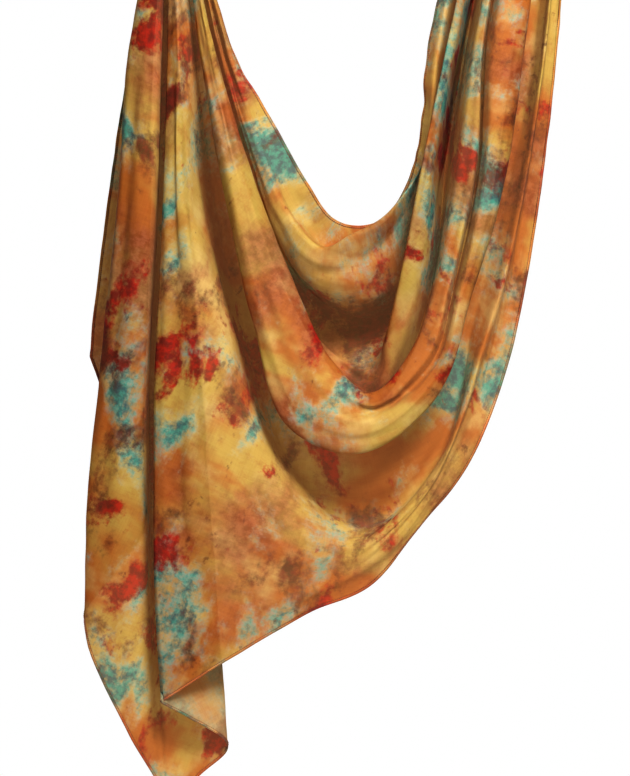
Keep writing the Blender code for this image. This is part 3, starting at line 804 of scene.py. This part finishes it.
class Edge:
    """One edge of the cloth: its points, the way into the cloth, the way out of its face."""

    def __init__(self, cloth, flat, line, inner):
        self.line = cloth.points[line]
        self.flat = flat[line]
        along = unit(np.gradient(self.line, axis=0))
        way = cloth.points[inner] - self.line
        self.inward = unit(way - along * (way * along).sum(axis=1, keepdims=True))
        self.out = np.cross(along, self.inward)
        self.flat_inward = unit(flat[inner] - self.flat)


def hem_piece(name, edge, material):
    """A flattened roll along an edge: a fullness of 1 is an ellipse, of 0 a flat band."""
    turns = np.linspace(0, 2 * math.pi, HEM_SIDES, endpoint=False)
    middle = HEM_WIDTH / 2 - HEM_OVERHANG
    inset = middle - np.cos(turns) * HEM_WIDTH / 2
    height = np.sign(np.sin(turns)) * np.abs(np.sin(turns))**HEM_FULLNESS * HEM_THICKNESS / 2
    rings = (edge.line[:, None] + edge.inward[:, None] * inset[None, :, None]
             + edge.out[:, None] * height[None, :, None])
    flat = edge.flat[:, None] + edge.flat_inward[:, None] * inset[None, :, None]
    count = len(edge.line)
    numbers = np.arange(count * HEM_SIDES).reshape(count, HEM_SIDES)
    wrapped = np.concatenate([numbers, numbers[:, :1]], axis=1)
    faces = quads_of(wrapped).tolist()
    faces.append(numbers[0].tolist())
    faces.append(numbers[-1, ::-1].tolist())
    mesh = new_mesh(name, rings, faces)
    mesh.materials.append(material)
    keep_flat(mesh, flat.reshape(-1, 2))
    return new_piece(name, mesh)


def stitch_boxes(edge, inset):
    """The corners of each stitch in one row along an edge, on the face and on the reverse."""
    steps = np.linalg.norm(np.diff(edge.line, axis=0), axis=1)
    run = np.concatenate([[0], np.cumsum(steps)])
    starts = np.arange(STITCH_PITCH, run[-1] - STITCH_PITCH, STITCH_PITCH)

    def at(distance, values):
        return np.stack([np.interp(distance, run, column) for column in values.T], axis=-1)

    boxes = []
    for side in (1, -1):
        ends = []
        for distance in (starts, starts + STITCH_LENGTH):
            inward = unit(at(distance, edge.inward))
            out = unit(at(distance, edge.out)) * side
            middle = at(distance, edge.line) + inward * inset
            low = middle + out * (STITCH_PROUD - STITCH_WIDTH)
            high = middle + out * STITCH_PROUD
            half = inward * STITCH_WIDTH / 2
            ends.append(np.stack([low - half, low + half, high + half, high - half], axis=1))
        boxes.append(np.concatenate(ends, axis=1))
    return np.concatenate(boxes)


# A box's faces, from the numbers of its eight corners.
BOX_SIDES = ((0, 1, 2, 3), (7, 6, 5, 4), (0, 4, 5, 1), (1, 5, 6, 2), (2, 6, 7, 3), (3, 7, 4, 0))


def stitch_piece(name, edges, material):
    """Every stitch of the hems, as small boxes on both sides."""
    boxes = np.concatenate([stitch_boxes(edge, inset) for edge in edges for inset in STITCH_INSETS])
    first = np.arange(len(boxes))[:, None, None] * 8
    faces = (first + np.array(BOX_SIDES)[None]).reshape(-1, 4)
    mesh = new_mesh(name, boxes, faces.tolist(), smooth=False)
    mesh.materials.append(material)
    keep_flat(mesh, boxes.reshape(-1, 3)[:, [0, 2]])
    return new_piece(name, mesh)


# ---------------------------------------------------------------- studio

# In metres: x to the right, y away from the viewer, z up from the holds.
VIEW_DISTANCE = 5.0
VIEW_HALF_HEIGHT = 0.582
VIEW_CENTRE = (0.2175, -0.7095)
FLOOR_DROP = 0.25
FLOOR_SIZE = 3.2
FLOOR_MIDDLE = (0.22, 0.1)
FLOOR_COLOUR = (0.86, 0.86, 0.85)
FLOOR_ROUGHNESS = 0.9
LIGHT_AIM = (0.22, 0.0, -0.6)
KEY_PLACE = (1.3, -2.4, 1.9)
KEY_SIZE = 1.3
KEY_WATTS = 352
FILL_PLACE = (-1.8, -3.0, -0.2)
FILL_SIZE = 1.5
FILL_WATTS = 50
BACKGROUND = (1.0, 1.0, 1.0)
WALL_LIGHT = (1.0, 1.0, 1.0)
ROOM_LIGHT = (0.106, 0.063, 0.034)
WALL_FROM = 0.1
WALL_TO = 0.7
PICTURE_GAMMA = 0.70


def add_camera():
    camera = bpy.data.cameras.new("camera")
    camera.sensor_fit = "VERTICAL"
    camera.angle = 2 * math.atan(VIEW_HALF_HEIGHT / VIEW_DISTANCE)
    holder = bpy.data.objects.new("camera", camera)
    holder.location = (VIEW_CENTRE[0], -VIEW_DISTANCE, VIEW_CENTRE[1])
    holder.rotation_euler = (math.pi / 2, 0, 0)
    bpy.context.scene.collection.objects.link(holder)
    bpy.context.scene.camera = holder


def add_light(name, place, aim, size, watts):
    light = bpy.data.lights.new(name, "AREA")
    light.size = size
    light.energy = watts
    holder = bpy.data.objects.new(name, light)
    across, ahead, up = np.array(aim) - np.array(place)
    tilt = math.atan2(math.hypot(across, ahead), -up)
    holder.location = place
    holder.rotation_euler = (tilt, 0, math.atan2(ahead, across) - math.pi / 2)
    bpy.context.scene.collection.objects.link(holder)


def add_studio():
    """A big key light, a small fill, a bright wall behind the cloth and a dim warm room."""
    add_light("key", KEY_PLACE, LIGHT_AIM, KEY_SIZE, KEY_WATTS)
    add_light("fill", FILL_PLACE, LIGHT_AIM, FILL_SIZE, FILL_WATTS)
    world = bpy.data.worlds.new("studio")
    world.use_nodes = True
    tree = world.node_tree
    way = new_node(tree, "ShaderNodeTexCoord").outputs["Generated"]
    depth = new_node(tree, "ShaderNodeSeparateXYZ", [("Vector", way)]).outputs["Y"]
    share = soft_step(tree, depth, WALL_FROM, WALL_TO)
    light = colour_mix(tree, share, ROOM_LIGHT, WALL_LIGHT)
    seen = new_node(tree, "ShaderNodeLightPath").outputs["Is Camera Ray"]
    light = colour_mix(tree, seen, light, BACKGROUND)
    tree.links.new(light, tree.nodes["Background"].inputs["Color"])
    bpy.context.scene.world = world
    bpy.context.scene.view_settings.view_transform = "Standard"
    bpy.context.scene.view_settings.gamma = PICTURE_GAMMA

    floor_place = (*FLOOR_MIDDLE, cad_box[0][2] - FLOOR_DROP)
    bpy.ops.mesh.primitive_plane_add(size=FLOOR_SIZE, location=floor_place)
    floor = bpy.context.object
    floor.name = "floor"
    material, _, shader = start_material("pale_floor")
    shader.inputs["Base Color"].default_value = (*FLOOR_COLOUR, 1)
    shader.inputs["Roughness"].default_value = FLOOR_ROUGHNESS
    floor.data.materials.append(material)


# ---------------------------------------------------------------- making

CLOTH_NODES = (
    "roll_left", "roll_bowl", "roll_right", "cowl_left", "cowl_bowl", "cowl_right", "main_left",
    "main_bowl", "main_right", "apron_left", "apron_bowl", "apron_right", "front_panel",
    "front_right", "tail_return", "tail_front", "tail_back",
)


def hem_lines(cloth):
    """Each hem's line of points, with the line just inside it."""
    corner_row = FRONT_CORNER * ROWS
    corner_column = TAIL_CORNER_FOLD * COLUMNS
    turn_column = TAIL_HIDDEN_TURN_FOLD * COLUMNS
    swag, tail = cloth.swag, cloth.tail
    side = slice(corner_column, turn_column + 1)
    return {
        "hem_top": (swag[0], swag[1]),
        "hem_bottom": (swag[-1, corner_row:], swag[-2, corner_row:]),
        "hem_tail_bottom": (tail[:corner_column + 1, -1], tail[:corner_column + 1, -2]),
        "hem_tail_side": (tail[side, -1], tail[side, -2]),
        "hem_tail_back": (tail[turn_column:, -1], tail[turn_column:, -2]),
        "hem_tail_top": (tail[-1], tail[-2]),
    }


def make_hijab():
    """Build the cloth, its hems and its stitches in the studio, and hand them to the frame."""
    add_camera()
    add_studio()
    cloth = Cloth(swag_surface(), tail_surface())
    skip = (COLUMNS // FLAT_COLUMNS, ROWS // FLAT_ROWS)
    flat = flattened(cloth, skip, skip)
    lines = hem_lines(cloth)
    crease(cloth, flat, [line for line, _ in lines.values()])

    mesh = new_mesh("cloth", cloth.points, cloth.quads.tolist())
    mesh.materials.append(cloth_material())
    keep_flat(mesh, flat)
    sheet = new_piece("cloth", mesh)
    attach(sheet, "root")
    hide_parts(*CLOTH_NODES)

    material = hem_material()
    edges = {node: Edge(cloth, flat, *line) for node, line in lines.items()}
    for node, edge in edges.items():
        hem = hem_piece("turned_" + node, edge, material)
        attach(hem, "root")
        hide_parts(node)
    stitches = stitch_piece("hem_stitches", edges.values(), thread_material())
    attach(stitches, "root")


make_hijab()
